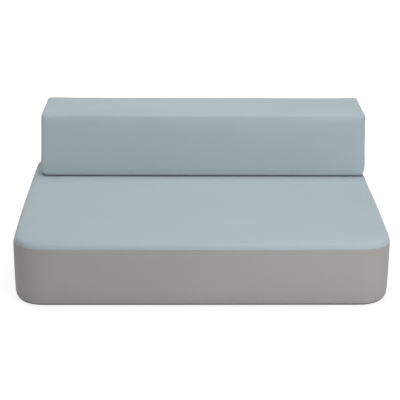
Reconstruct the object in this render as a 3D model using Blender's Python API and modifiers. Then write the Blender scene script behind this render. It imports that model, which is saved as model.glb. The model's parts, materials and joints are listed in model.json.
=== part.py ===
"""Sofa bed of two foam blocks: a thick base that is the seat, and a back block that folds down behind it.

Metres, +Z up. The origin is on the floor under the middle of the base, and the front looks along -Y.
Each block is a foam core in wadding, in a sewn cover with a zip at the rear. A strip of fabric at the
rear joins the blocks, and the back block turns half a turn about it to lie on the floor behind the base.
"""

import math
from dataclasses import dataclass

import bmesh
import bpy
from mathutils import Vector

# Driving dimensions of the two blocks
BASE_WIDTH = 1.90
BASE_DEPTH = 1.40
BASE_HEIGHT = 0.350
BACK_SHORTFALL = 0.070  # the back block is this much shorter than the base
BACK_DEPTH = 0.400
BACK_RISE = 0.010  # the back block is this much taller than the base, to lie level with it folded down
BACK_SHIFT = 0.020  # the back block's middle, to the right of the base's

# Rounding and swell of the base
BASE_CORNER = 0.145  # upright corners, in plan, at the top
BASE_CORNER_FOOT = 0.140  # the same corners at the floor
BASE_TOP_ROUND = 0.026
BASE_FOOT_ROUND = 0.038
BASE_CROWN = 0.006
BASE_FRONT_BOW = 0.005
BASE_END_BOW = 0.006

# Rounding and swell of the back block
BACK_CORNER = 0.027
BACK_CORNER_FOOT = 0.030
BACK_TOP_ROUND = 0.027
BACK_FOOT_ROUND = 0.014
BACK_CROWN = 0.003
BACK_FRONT_BOW = 0.004
BACK_END_BOW = 0.003
BACK_END_FLARE = 0.008  # each end lies this much further out at the foot than at the top

# Layers of each block, from the outside in
COVER = 0.0015
WADDING = 0.006
COMFORT_FOAM = 0.110  # the softer slab at the top of the base
SKIRT_LIFT = 0.008  # the wadding ends this far above the foot's rounding

# Seams of the covers
SEAM_DROP = 0.009  # the coloured top panel reaches this far below the rounded edge
FOOT_SEAM = 0.005  # the base's bottom panel ends this far above the floor
END_SEAM = 0.006  # the back block's end panels are this deep

# Clearances
GAP = 0.0003
SEAM_GAP = 0.0006
SOFT_GAP = 0.0005
RUN_GAP = 0.0004
FLOOR_GAP = 0.0006

# Strips of hook and loop tape between the blocks
STRIP_THICKNESS = 0.0020
STRIP_WIDTH = 0.050
STRIP_LENGTH = 0.300

# Fabric hinge
HINGE_STANDOFF = 0.0045  # the fold's line lies this far behind the blocks
LEAF_THICKNESS = 0.0012
LEAF_MARGIN = 0.010  # each leaf ends this far inside the flat part of the base's rear
LEAF_BASE_LENGTH = 0.100
LEAF_BACK_LENGTH = 0.080
LEAF_FOLD_GAP = 0.0008
LEAF_CORNER = 0.012

# Zips
ZIP_MARGIN = 0.040  # from the end of a chain to the end of the flat part of its block's rear
BASE_ZIP_UP = 0.100
BACK_ZIP_UP = 0.155
TAPE_WIDTH = 0.015
TAPE_THICKNESS = 0.0008
TAPE_END = 0.020
TAPE_SPLIT = 0.0012
CHAIN_WIDTH = 0.0060
CHAIN_THICKNESS = 0.0018
SLOT_MARGIN = 0.0030  # the slot's edge lies this far outside the chain
STOP_LENGTH = 0.0050
STOP_WIDTH = 0.0080
STOP_ROUND = 0.0006
SLIDER_LENGTH = 0.0130
SLIDER_PLATE = 0.0010
SLIDER_FLANGE = 0.0009
SLIDER_SHOULDER = 0.0007  # the mouth is this much wider on each side at the slider's nose
SLIDER_PARK = 0.0020
BAIL_HALF = 0.0035
BAIL_WIRE = 0.0004
TAB_THICKNESS = 0.0010
TAB_LENGTH = 0.0240
TAB_HALF_ROOT = 0.0026
TAB_HALF_TIP = 0.0036

# Counts
BASE_CORNER_STEPS = 8
BACK_CORNER_STEPS = 4
EDGE_STEPS = 4
COLUMNS = 6
ROWS = 4
BANDS = 3
STRIPS = 3
BAIL_STEPS = 8
TIP_STEPS = 6
CHAIN_STEPS = 6
STOP_STEPS = 2
WIRE_STEPS = 2

CORNER_LINE_SHARE = 1.1  # the outermost lines of a block, in shares of its corners' radius
CROWN_FADE_SHARE = 0.5  # the crown fades out over this share of the top's rounding
SHARP_ANGLE = math.radians(35)
TOUCH = 1e-6  # two places nearer than this are the same


@dataclass(frozen=True)
class Block:
    """The outside of one soft block."""

    width: float
    depth: float
    height: float
    centre_x: float
    rear: float
    bottom: float
    corner: float
    corner_foot: float
    top_round: float
    foot_round: float
    crown: float
    crown_front: float
    crown_rear: float
    front_bow: float
    end_bow: float
    end_flare: float
    corner_steps: int

    @property
    def top(self):
        return self.bottom + self.height

    @property
    def front(self):
        return self.rear - self.depth

    @property
    def middle_y(self):
        return self.rear - self.depth / 2

    @property
    def flat_half(self):
        """Half the width between the rear's rounded corners."""
        return self.width / 2 - max(self.corner, self.corner_foot)


STRIP_STACK = 2 * STRIP_THICKNESS + 3 * GAP
REAR = BASE_DEPTH / 2

BASE = Block(
    width=BASE_WIDTH,
    depth=BASE_DEPTH,
    height=BASE_HEIGHT,
    centre_x=0.0,
    rear=REAR,
    bottom=0.0,
    corner=BASE_CORNER,
    corner_foot=BASE_CORNER_FOOT,
    top_round=BASE_TOP_ROUND,
    foot_round=BASE_FOOT_ROUND,
    crown=BASE_CROWN,
    crown_front=-REAR,
    crown_rear=REAR - BACK_DEPTH,
    front_bow=BASE_FRONT_BOW,
    end_bow=BASE_END_BOW,
    end_flare=0.0,
    corner_steps=BASE_CORNER_STEPS,
)

BACK = Block(
    width=BASE_WIDTH - BACK_SHORTFALL,
    depth=BACK_DEPTH,
    height=BASE_HEIGHT + BACK_RISE,
    centre_x=BACK_SHIFT,
    rear=REAR,
    bottom=BASE_HEIGHT + STRIP_STACK,
    corner=BACK_CORNER,
    corner_foot=BACK_CORNER_FOOT,
    top_round=BACK_TOP_ROUND,
    foot_round=BACK_FOOT_ROUND,
    crown=BACK_CROWN,
    crown_front=REAR - BACK_DEPTH,
    crown_rear=REAR,
    front_bow=BACK_FRONT_BOW,
    end_bow=BACK_END_BOW,
    end_flare=BACK_END_FLARE,
    corner_steps=BACK_CORNER_STEPS,
)

# Folded down, the back block's crowned top just clears the floor
HINGE_Y = REAR + HINGE_STANDOFF
HINGE_Z = (BACK.top + BACK_CROWN + FLOOR_GAP) / 2


def clear_scene():
    for old in list(bpy.data.objects):
        bpy.data.objects.remove(old, do_unlink=True)


def new_collection(name):
    collection = bpy.data.collections.new(name)
    bpy.context.scene.collection.children.link(collection)
    return collection


def make_material(name, colour, roughness, metallic=0.0):
    material = bpy.data.materials.new(name)
    material.use_nodes = True
    shader = material.node_tree.nodes["Principled BSDF"]
    shader.inputs["Base Color"].default_value = (*colour, 1.0)
    shader.inputs["Roughness"].default_value = roughness
    shader.inputs["Metallic"].default_value = metallic
    material.diffuse_color = (*colour, 1.0)
    return material


def world_place(thing):
    """The place of an unturned empty under its unturned parents."""
    place = Vector()
    while thing:
        place += thing.location
        thing = thing.parent
    return place


def new_pivot(name, place, carrier=None):
    pivot = bpy.data.objects.new(name, None)
    parts.objects.link(pivot)
    pivot.empty_display_size = STRIP_WIDTH
    pivot.parent = carrier
    pivot.location = Vector(place) - world_place(carrier)
    return pivot


def new_piece(name, bm, colour, carrier=None, smooth=True):
    """Turns a bmesh in world coordinates into an object carried by an empty, or by nothing."""
    bmesh.ops.translate(bm, vec=-world_place(carrier), verts=bm.verts)
    mesh = bpy.data.meshes.new(name)
    bm.to_mesh(mesh)
    bm.free()
    mesh.materials.append(colour)
    if smooth:
        mesh.shade_smooth()
        mesh.set_sharp_from_angle(angle=SHARP_ANGLE)
    piece = bpy.data.objects.new(name, mesh)
    piece.parent = carrier
    parts.objects.link(piece)
    return piece


def new_cutter(name, bm):
    mesh = bpy.data.meshes.new(name)
    bm.to_mesh(mesh)
    bm.free()
    cutter = bpy.data.objects.new(name, mesh)
    cutter.hide_render = True
    cutter.display_type = "WIRE"
    cutters.objects.link(cutter)
    return cutter


def add_wall(piece, thickness):
    """Gives an open surface a wall on its inner side."""
    wall = piece.modifiers.new("wall", "SOLIDIFY")
    wall.thickness = thickness
    wall.offset = -1
    wall.use_even_offset = True
    wall.use_rim = True


def combine(piece, other, operation):
    boolean = piece.modifiers.new(other.name, "BOOLEAN")
    boolean.operation = operation
    boolean.solver = "EXACT"
    boolean.object = other


def box(low, high):
    low, high = Vector(low), Vector(high)
    bm = bmesh.new()
    bmesh.ops.create_cube(bm, size=1)
    bmesh.ops.scale(bm, vec=high - low, verts=bm.verts)
    bmesh.ops.translate(bm, vec=(low + high) / 2, verts=bm.verts)
    return bm


def round_edges(bm, edges, radius, steps):
    bmesh.ops.bevel(
        bm,
        geom=edges,
        offset=radius,
        offset_type="OFFSET",
        segments=steps,
        profile=0.5,
        affect="EDGES",
        clamp_overlap=True,
        material=-1,
    )


def edges_along(bm, axis):
    """The edges of a box that run along one axis."""
    others = [i for i in range(3) if i != axis]
    return [
        edge
        for edge in bm.edges
        if all(abs(edge.verts[0].co[i] - edge.verts[1].co[i]) < TOUCH for i in others)
    ]


def edges_at_height(bm, height):
    return [e for e in bm.edges if all(abs(v.co.z - height) < TOUCH for v in e.verts)]


def cut(bm, axis, place, keep=None):
    """Cuts along a plane across one axis. keep is 'above' or 'below' to leave one side, open."""
    point, normal = Vector(), Vector()
    point[axis], normal[axis] = place, 1.0
    bmesh.ops.bisect_plane(
        bm,
        geom=bm.verts[:] + bm.edges[:] + bm.faces[:],
        dist=TOUCH,
        plane_co=point,
        plane_no=normal,
        clear_outer=keep == "below",
        clear_inner=keep == "above",
    )


def close_holes(bm):
    bmesh.ops.holes_fill(bm, edges=[e for e in bm.edges if e.is_boundary], sides=0)


def plain_block(block, inset=0.0, foot_inset=None):
    """A closed rounded block that lies inset within the outside, with lines ready for its swell."""
    foot_inset = inset if foot_inset is None else foot_inset
    half = block.width / 2 - inset
    low = (block.centre_x - half, block.front + inset, block.bottom + foot_inset)
    high = (block.centre_x + half, block.rear - inset, block.top - inset)
    bm = box(low, high)
    round_edges(bm, edges_along(bm, 2), block.corner - inset, block.corner_steps)
    round_edges(bm, edges_at_height(bm, high[2]), block.top_round - inset, EDGE_STEPS)
    round_edges(bm, edges_at_height(bm, low[2]), block.foot_round - foot_inset, EDGE_STEPS)
    edge = block.corner * CORNER_LINE_SHARE
    first_x, last_x = block.centre_x - block.width / 2 + edge, block.centre_x + block.width / 2 - edge
    for i in range(COLUMNS + 1):
        cut(bm, 0, first_x + (last_x - first_x) * i / COLUMNS)
    first_y, last_y = block.front + edge, min(block.crown_rear, block.rear - edge)
    for i in range(ROWS + 1):
        cut(bm, 1, first_y + (last_y - first_y) * i / ROWS)
    if last_y < block.rear - edge:
        cut(bm, 1, block.rear - edge)
    straight = block.height - block.top_round - block.foot_round
    for i in range(1, BANDS + 1):
        cut(bm, 2, block.bottom + block.foot_round + straight * i / (BANDS + 1))
    return bm


def swell(bm, block):
    """Moves a plain block's points to where the filled cover lies: crowned on top, bowed at the front
    and ends, spread at the foot, flat at the rear and bottom."""
    middle = Vector((block.centre_x, block.middle_y, 0.0))
    half_x, half_y = block.width / 2, block.depth / 2
    crown_middle = (block.crown_front + block.crown_rear) / 2
    crown_half = (block.crown_rear - block.crown_front) / 2
    for vert in bm.verts:
        place = vert.co - middle
        up = (vert.co.z - block.bottom) / block.height
        across, along = place.x / half_x, place.y / half_y

        # upright corners, whose radius changes towards the foot
        growth = (block.corner_foot - block.corner) * (1 - up)
        past_x = abs(place.x) - half_x + block.corner
        past_y = abs(place.y) - half_y + block.corner
        if max(past_x, past_y) > 0:
            spoke = Vector((max(past_x, 0.0), max(past_y, 0.0))).normalized()
            share = min(1.0, max(0.0, 1 + min(past_x, past_y) / block.corner))
            vert.co.x += math.copysign(share * growth, place.x) * (spoke.x - 1)
            vert.co.y += math.copysign(share * growth, place.y) * (spoke.y - 1)

        # front and ends bow out between their edges
        belly = 1 - (2 * up - 1) ** 2
        vert.co.y -= block.front_bow * belly * (1 - across**2) * max(0.0, -along) ** 2
        vert.co.x += block.end_bow * belly * (1 - along**2) * across * abs(across)
        vert.co.x += block.end_flare * (1 - up) * across

        # the top rises towards the middle
        crown_along = (vert.co.y - crown_middle) / crown_half
        rise = (max(0.0, 1 - across**2) * max(0.0, 1 - crown_along**2)) ** 2
        past_side = (vert.co.z - block.top + block.top_round) / (block.top_round * CROWN_FADE_SHARE)
        at_top = min(1.0, max(0.0, past_side))
        vert.co.z += block.crown * rise * at_top


def foam(name, block, colour, carrier, low=None, high=None):
    """A slab of the core, closed where it is cut at low or high."""
    inside = COVER + SOFT_GAP + WADDING + SOFT_GAP
    bm = plain_block(block, inside, COVER + SOFT_GAP)
    if low is not None:
        cut(bm, 2, low, keep="above")
    if high is not None:
        cut(bm, 2, high, keep="below")
    close_holes(bm)
    swell(bm, block)
    return new_piece(name, bm, colour, carrier)


def wadding(name, block, colour, carrier):
    """A soft layer over the top and sides of the core, open underneath."""
    bm = plain_block(block, COVER + SOFT_GAP)
    cut(bm, 2, block.bottom + block.foot_round + SKIRT_LIFT, keep="above")
    swell(bm, block)
    piece = new_piece(name, bm, colour, carrier)
    add_wall(piece, WADDING)
    return piece


def panel(name, block, colour, carrier, cuts):
    """One sewn panel of a cover: what the cuts (axis, place, side kept) leave of the outside."""
    bm = plain_block(block)
    for axis, place, keep in cuts:
        cut(bm, axis, place, keep)
    swell(bm, block)
    piece = new_piece(name, bm, colour, carrier)
    add_wall(piece, COVER)
    return piece


def base_block():
    """Core, wadding and cover of the base. Gives the two pieces that the zip is let into."""
    split = BASE.top - COMFORT_FOAM
    foam("base_foam_support", BASE, firm_foam, None, high=split - GAP / 2)
    foam("base_foam_comfort", BASE, soft_foam, None, low=split + GAP / 2)
    padding = wadding("base_wadding", BASE, wadding_white, None)
    seam = BASE.top - BASE.top_round - SEAM_DROP
    foot_seam = BASE.bottom + FOOT_SEAM
    panel("base_cover_top", BASE, blue_fabric, None, [(2, seam + SEAM_GAP / 2, "above")])
    border_cuts = [(2, seam - SEAM_GAP / 2, "below"), (2, foot_seam + SEAM_GAP / 2, "above")]
    border = panel("base_cover_border", BASE, grey_fabric, None, border_cuts)
    panel("base_cover_bottom", BASE, grip_fabric, None, [(2, foot_seam - SEAM_GAP / 2, "below")])
    return border, padding


def back_block(carrier):
    """Core, wadding and cover of the back block. Gives the two pieces that the zip is let into."""
    foam("back_foam_core", BACK, soft_foam, carrier)
    padding = wadding("back_wadding", BACK, wadding_white, carrier)
    left_seam = BACK.centre_x - BACK.width / 2 + END_SEAM
    right_seam = BACK.centre_x + BACK.width / 2 - END_SEAM
    wrap_cuts = [(0, left_seam + SEAM_GAP / 2, "above"), (0, right_seam - SEAM_GAP / 2, "below")]
    wrap = panel("back_cover_wrap", BACK, blue_fabric, carrier, wrap_cuts)
    panel("back_cover_end_left", BACK, blue_fabric, carrier, [(0, left_seam - SEAM_GAP / 2, "below")])
    panel("back_cover_end_right", BACK, blue_fabric, carrier, [(0, right_seam + SEAM_GAP / 2, "above")])
    return wrap, padding


def grip_strips(carrier):
    """Pairs of loop tape on the seat and hook tape under the back block, which hold it upright."""
    loop_low = BASE.top + GAP
    hook_low = loop_low + STRIP_THICKNESS + GAP
    for number in range(STRIPS):
        x = BACK.centre_x + BACK.width / STRIPS * (number - (STRIPS - 1) / 2)
        low = Vector((x - STRIP_LENGTH / 2, BACK.middle_y - STRIP_WIDTH / 2, 0.0))
        high = Vector((x + STRIP_LENGTH / 2, BACK.middle_y + STRIP_WIDTH / 2, STRIP_THICKNESS))
        for name, height, holder in (
            (f"seat_loop_strip_{number + 1}", loop_low, None),
            (f"back_hook_strip_{number + 1}", hook_low, carrier),
        ):
            lift = Vector((0.0, 0.0, height))
            new_piece(name, box(low + lift, high + lift), strip_dark, holder, smooth=False)


def hinge_leaf(name, fold_end, far_end, carrier):
    """Half of the fabric hinge, from beside the fold's line to its far hem."""
    half = BASE.flat_half - abs(BACK_SHIFT) - LEAF_MARGIN
    low = (BACK.centre_x - half, REAR + GAP, min(fold_end, far_end))
    high = (BACK.centre_x + half, REAR + GAP + LEAF_THICKNESS, max(fold_end, far_end))
    bm = box(low, high)
    hem = [
        edge
        for edge in edges_along(bm, 1)
        if abs(edge.verts[0].co.z - far_end) < TOUCH
    ]
    round_edges(bm, hem, LEAF_CORNER, TIP_STEPS)
    return new_piece(name, bm, blue_fabric, carrier, smooth=False)


def prism(outline, x_from, x_to):
    """A closed outline of (y, z) points drawn out along X."""
    bm = bmesh.new()
    ring = [bm.verts.new((x_from, y, z)) for y, z in outline]
    face = bm.faces.new(ring)
    drawn = bmesh.ops.extrude_face_region(bm, geom=[face])
    moved = [v for v in drawn["geom"] if isinstance(v, bmesh.types.BMVert)]
    bmesh.ops.translate(bm, vec=(x_to - x_from, 0.0, 0.0), verts=moved)
    bm.normal_update()
    bmesh.ops.recalc_face_normals(bm, faces=bm.faces)
    return bm


def mesh_of(curve_data):
    """A curve's welded mesh. The curve is removed."""
    curve = bpy.data.objects.new(curve_data.name, curve_data)
    cutters.objects.link(curve)
    evaluated = curve.evaluated_get(bpy.context.evaluated_depsgraph_get())
    mesh = bpy.data.meshes.new_from_object(evaluated)
    bm = bmesh.new()
    bm.from_mesh(mesh)
    bmesh.ops.remove_doubles(bm, verts=bm.verts, dist=TOUCH)
    bpy.data.objects.remove(curve, do_unlink=True)
    bpy.data.meshes.remove(mesh)
    bpy.data.curves.remove(curve_data)
    return bm


def bail(centre_x, plate, crest, z):
    """The loop of wire on a slider that its tab turns in: half an ellipse that stands on the plate."""
    data = bpy.data.curves.new("bail", "CURVE")
    data.dimensions = "3D"
    data.bevel_depth = BAIL_WIRE
    data.bevel_resolution = WIRE_STEPS
    data.use_fill_caps = True
    spline = data.splines.new("POLY")
    spline.points.add(BAIL_STEPS)
    foot = plate - BAIL_WIRE
    for i, point in enumerate(spline.points):
        turn = math.pi * i / BAIL_STEPS
        x = centre_x - BAIL_HALF * math.cos(turn)
        y = foot + (crest - foot) * math.sin(turn)
        point.co = (x, y, z, 1.0)
    return mesh_of(data)


def pull_tab(pivot_place, hole_end):
    """A flat tab that lies towards -X from its pivot bar, with a slot for the bail."""
    slot_half = BAIL_WIRE + RUN_GAP
    bar = TAB_THICKNESS / 2
    tip = [
        (-TAB_LENGTH + TAB_HALF_TIP - TAB_HALF_TIP * math.sin(turn), TAB_HALF_TIP * math.cos(turn))
        for turn in (math.pi * i / TIP_STEPS for i in range(TIP_STEPS + 1))
    ]
    outer = [(bar, -TAB_HALF_ROOT), (bar, TAB_HALF_ROOT)] + tip
    slot = [(-bar, -slot_half), (-bar, slot_half), (-hole_end, slot_half), (-hole_end, -slot_half)]
    data = bpy.data.curves.new("tab", "CURVE")
    data.dimensions = "2D"
    data.fill_mode = "BOTH"
    data.extrude = TAB_THICKNESS / 2
    for outline in (outer, slot):
        spline = data.splines.new("POLY")
        spline.points.add(len(outline) - 1)
        spline.use_cyclic_u = True
        for point, (x, z) in zip(spline.points, outline):
            point.co = (x, z, 0.0, 1.0)
    bm = mesh_of(data)
    for vert in bm.verts:
        x, z, y = vert.co
        vert.co = pivot_place + Vector((x, y, z))
    bm.normal_update()
    bmesh.ops.recalc_face_normals(bm, faces=bm.faces)
    return bm


def zip_fastening(prefix, block, up, cover, padding, carrier=None):
    """A coil zip let into a block's flat rear: slot, tapes, chain, end stops, slider and tab."""
    z = block.bottom + up
    rear = block.rear
    left = block.centre_x - block.flat_half + ZIP_MARGIN
    right = block.centre_x + block.flat_half - ZIP_MARGIN
    tape_out = rear - COVER - GAP
    tape_in = tape_out - TAPE_THICKNESS
    chain_in = tape_out + GAP
    chain_out = chain_in + CHAIN_THICKNESS
    half_chain = CHAIN_WIDTH / 2

    # the slot in the cover, and the hollow that the tapes press into the wadding
    slot_half = half_chain + SLOT_MARGIN
    slot_end = STOP_LENGTH + SLOT_MARGIN
    slot_low = (left - slot_end, rear - 2 * COVER, z - slot_half)
    slot_high = (right + slot_end, rear + COVER, z + slot_half)
    slot = box(slot_low, slot_high)
    round_edges(slot, edges_along(slot, 1), SLOT_MARGIN, EDGE_STEPS)
    combine(cover, new_cutter(f"{prefix}_zip_slot_cutter", slot), "DIFFERENCE")
    bed_end = slot_end + TAPE_END
    bed_half = TAPE_WIDTH + SOFT_GAP
    bed = box((left - bed_end, tape_in - GAP, z - bed_half), (right + bed_end, rear, z + bed_half))
    combine(padding, new_cutter(f"{prefix}_zip_bed_cutter", bed), "DIFFERENCE")

    # tapes
    tape_end = bed_end - SOFT_GAP
    for name, side in ((f"{prefix}_zip_tape_upper", 1), (f"{prefix}_zip_tape_lower", -1)):
        edges = sorted((z + side * TAPE_SPLIT / 2, z + side * TAPE_WIDTH))
        tape = box((left - tape_end, tape_in, edges[0]), (right + tape_end, tape_out, edges[1]))
        new_piece(name, tape, tape_grey, carrier, smooth=False)

    # chain of coil teeth, closed along its whole length
    arc = [math.pi * i / CHAIN_STEPS for i in range(CHAIN_STEPS + 1)]
    outline = [
        (chain_in + CHAIN_THICKNESS * math.sin(turn), z + half_chain * math.cos(turn)) for turn in arc
    ]
    new_piece(f"{prefix}_zip_chain", prism(outline, left, right), coil_grey, carrier)

    # end stops, one past each end of the chain
    for name, edge in (
        (f"{prefix}_zip_stop_left", left - GAP - STOP_LENGTH),
        (f"{prefix}_zip_stop_right", right + GAP),
    ):
        low = (edge, chain_in, z - STOP_WIDTH / 2)
        high = (edge + STOP_LENGTH, chain_out, z + STOP_WIDTH / 2)
        stop = box(low, high)
        outer = [e for e in stop.edges if all(abs(v.co.y - chain_out) < TOUCH for v in e.verts)]
        round_edges(stop, outer, STOP_ROUND, STOP_STEPS)
        new_piece(name, stop, zip_metal, carrier)

    # slider, a channel that straddles the chain, parked at the right
    nose = right - SLIDER_PARK
    tail = nose - SLIDER_LENGTH
    plate_in = chain_out + RUN_GAP
    plate_out = plate_in + SLIDER_PLATE
    inner = half_chain + RUN_GAP
    outer = inner + SLIDER_FLANGE
    lip = tape_out + RUN_GAP
    section = [
        (lip, z - outer),
        (plate_out, z - outer),
        (plate_out, z + outer),
        (lip, z + outer),
        (lip, z + inner),
        (plate_in, z + inner),
        (plate_in, z - inner),
        (lip, z - inner),
    ]
    channel = prism(section, tail, nose)
    for vert in channel.verts:
        if abs(vert.co.x - nose) < TOUCH:
            vert.co.z += math.copysign(SLIDER_SHOULDER, vert.co.z - z)
    middle = (tail + nose) / 2
    rail = new_pivot(f"{prefix}_zip_slider_rail", (middle, plate_out, z), carrier)
    slider = new_piece(f"{prefix}_zip_slider", channel, zip_metal, rail, smooth=False)
    turning = TAB_THICKNESS * math.sqrt(0.5) + GAP
    bar_y = plate_out + turning
    crest = bar_y + turning + BAIL_WIRE
    loop = new_cutter(f"{prefix}_zip_bail_form", bail(middle, plate_out, crest, z))
    combine(slider, loop, "UNION")

    # tab, which turns about its bar under the bail
    hole_end = math.hypot(BAIL_HALF + BAIL_WIRE, crest + BAIL_WIRE - bar_y) + RUN_GAP
    bar = Vector((middle, bar_y, z))
    swing = new_pivot(f"{prefix}_zip_pull_pivot", bar, rail)
    new_piece(f"{prefix}_zip_pull", pull_tab(bar, hole_end), zip_metal, swing, smooth=False)


clear_scene()
parts = new_collection("sofa_bed")
cutters = new_collection("sofa_bed_cutters")

blue_fabric = make_material("blue_grey_fabric", (0.41, 0.49, 0.515), 0.85)
grey_fabric = make_material("warm_grey_fabric", (0.35, 0.335, 0.33), 0.85)
grip_fabric = make_material("dark_grip_fabric", (0.06, 0.06, 0.065), 0.80)
firm_foam = make_material("firm_foam", (0.62, 0.66, 0.70), 0.95)
soft_foam = make_material("soft_foam", (0.80, 0.77, 0.66), 0.95)
wadding_white = make_material("polyester_wadding", (0.86, 0.86, 0.85), 1.00)
strip_dark = make_material("hook_and_loop_tape", (0.035, 0.045, 0.050), 0.90)
tape_grey = make_material("zip_tape", (0.26, 0.27, 0.28), 0.80)
coil_grey = make_material("zip_coil", (0.22, 0.23, 0.24), 0.45)
zip_metal = make_material("zip_metal", (0.62, 0.62, 0.60), 0.35, 1.0)

hinge_line = new_pivot("backrest_hinge_line", (BACK.centre_x, HINGE_Y, HINGE_Z))
base_border, base_padding = base_block()
back_wrap, back_padding = back_block(hinge_line)
grip_strips(hinge_line)
hinge_leaf("hinge_leaf_base", HINGE_Z - LEAF_FOLD_GAP, HINGE_Z - LEAF_BASE_LENGTH, None)
hinge_leaf("hinge_leaf_back", HINGE_Z + LEAF_FOLD_GAP, HINGE_Z + LEAF_BACK_LENGTH, hinge_line)
zip_fastening("base", BASE, BASE_ZIP_UP, base_border, base_padding)
zip_fastening("back", BACK, BACK_ZIP_UP, back_wrap, back_padding, hinge_line)
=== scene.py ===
"""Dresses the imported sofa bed: padded fabric covers, zips, the fabric hinge, grip tapes and a studio.

Laid out as a Blender add-on and run as a script. Metres, +Z up, the front looks along -Y.
"""

import json
import math

import bmesh
import bpy
import numpy as np
from bpy.props import FloatProperty, FloatVectorProperty, IntProperty, PointerProperty
from mathutils import Matrix, Vector


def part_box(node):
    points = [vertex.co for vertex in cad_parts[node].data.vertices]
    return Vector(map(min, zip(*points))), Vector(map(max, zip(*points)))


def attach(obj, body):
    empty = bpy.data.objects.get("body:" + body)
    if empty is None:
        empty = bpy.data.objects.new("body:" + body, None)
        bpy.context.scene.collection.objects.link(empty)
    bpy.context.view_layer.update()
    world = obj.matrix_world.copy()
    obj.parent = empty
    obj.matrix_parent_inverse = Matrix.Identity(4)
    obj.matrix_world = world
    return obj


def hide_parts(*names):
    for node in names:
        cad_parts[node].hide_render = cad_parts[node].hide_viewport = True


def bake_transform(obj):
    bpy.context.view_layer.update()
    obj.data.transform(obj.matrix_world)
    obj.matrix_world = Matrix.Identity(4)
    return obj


bl_info = {
    "name": "Sofa Bed Dressing",
    "version": (1, 0, 0),
    "blender": (4, 5, 0),
    "location": "3D View > Sidebar > Sofa Bed",
    "description": "Padded covers, zips, fabric hinge and studio of a two-block sofa bed",
    "category": "Object",
}

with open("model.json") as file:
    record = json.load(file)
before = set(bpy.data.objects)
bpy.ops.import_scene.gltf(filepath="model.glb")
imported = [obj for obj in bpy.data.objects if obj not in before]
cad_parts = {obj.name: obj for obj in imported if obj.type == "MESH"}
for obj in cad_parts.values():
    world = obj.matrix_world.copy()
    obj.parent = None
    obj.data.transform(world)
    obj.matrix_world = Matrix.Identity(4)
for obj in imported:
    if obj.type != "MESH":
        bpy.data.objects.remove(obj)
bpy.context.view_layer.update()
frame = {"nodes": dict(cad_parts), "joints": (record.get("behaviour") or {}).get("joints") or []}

# Places read from the frame
BORDER_LOW, BORDER_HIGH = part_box("base_cover_border")
TOP_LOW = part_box("base_cover_top")[0]
WRAP_LOW, WRAP_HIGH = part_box("back_cover_wrap")
LEAF_LOW, LEAF_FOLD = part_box("hinge_leaf_base")
LEAF_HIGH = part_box("hinge_leaf_back")[1]
HINGE = Vector(next(j["pos_m"] for j in frame["joints"] if j["name"] == "backrest_fold"))

REAR = BORDER_HIGH.y
GAP = 0.0003  # between two solids that lie on each other
SEAT_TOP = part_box("seat_loop_strip_1")[0].z - GAP  # the flat of the seat under the back block
SLOT_PAST = 0.008  # a zip's opening and stitches run this far past its chain
TINY = 1e-5  # two places closer than this are the same
TURN = 2 * math.pi

# Cloth that is the same on several pieces
STITCH_SHARE = 0.78  # a stitch's length as a share of the pitch
STITCH_OUT, STITCH_WIDE = 0.0007, 0.0008
SEAM_HOLD = 0.7  # how firmly a seam is held while the cover fills


# Settings that a user would change


def length(name, description, default):
    return FloatProperty(name=name, description=description, unit="LENGTH", default=default)


def power(name, description, default):
    return FloatProperty(name=name, description=description, unit="POWER", default=default)


def shade(name, description, default):
    return FloatVectorProperty(
        name=name, description=description, subtype="COLOR", size=3, min=0, max=1, default=default
    )


class SofaCovers(bpy.types.PropertyGroup):
    seat_colour: shade("Seat and back colour", "Blue-grey of the top panel and the back block", (0.411, 0.494, 0.523))
    border_colour: shade("Border colour", "Warm grey of the band round the base", (0.350, 0.335, 0.333))
    base_width: length("Base width", "Width of the base between the rear ends of its sides", 1.902)
    base_corner: length("Base corner", "Radius of the base's upright corners at the top", 0.142)
    base_corner_spread: length("Base corner spread", "How much wider the upright corners are at the foot", 0.010)
    base_corner_tighter: length("Tighter corner", "How much smaller the front corner at the left is", 0.010)
    base_top_round: length("Base top rounding", "Radius of the base's upper edge", 0.027)
    base_foot_round: length("Base foot rounding", "Radius of the base's lower edge", 0.036)
    base_crown: length("Seat crown", "Rise of the seat between its front and the back block", 0.006)
    base_bow: length("Base bow", "How far the base's front bulges between its edges", 0.005)
    base_end_bow: length("Base end bow", "How far the base's ends bow out over their whole height", 0.0085)
    back_shift: length("Back shift", "How far the filled block leans to the right of its hinge's middle", 0.002)
    back_width: length("Back width", "Width of the back block at its top", 1.83)
    back_top_round: length("Back top rounding", "Radius of the back block's long upper edges", 0.026)
    back_foot_round: length("Back foot rounding", "Radius of the back block's long lower edges", 0.012)
    back_end_round: length("Back end rounding", "Radius of the edges round the back block's ends", 0.011)
    back_rear_end_round: length("Back rear end rounding", "Radius of the left end's edges at the rear", 0.025)
    back_end_seam: length("End seam", "Distance of the end seams from the ends", 0.006)
    back_flare: length("Back flare", "How much further out each end of the back block lies at its foot", 0.0105)
    back_lean: length("Back lean", "How much further back the block's front lies at its top", 0.026)
    back_rear_draw: length("Rear draw", "How far the block's rear is drawn in at its top", 0.010)
    back_rise: length("Back rise", "How much higher the filled block stands than its plain solid", 0.003)
    back_foot_lift: length("Foot lift", "How far the block's lower front edge rises off the seat", 0.004)
    back_crown: length("Back crown", "Rise of the back block's top", 0.003)
    back_bow: length("Back bow", "How far the back block's front and ends bulge", 0.003)
    pressure: FloatProperty(
        name="Stuffing pressure", description="Pressure that fills the covers in the cloth simulation", default=4.0
    )
    seam_depth: length("Seam depth", "How far a sewn seam draws the fabric in", 0.0016)
    thread_pitch: length("Thread pitch", "Distance between two threads of the weave", 0.0011)


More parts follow.
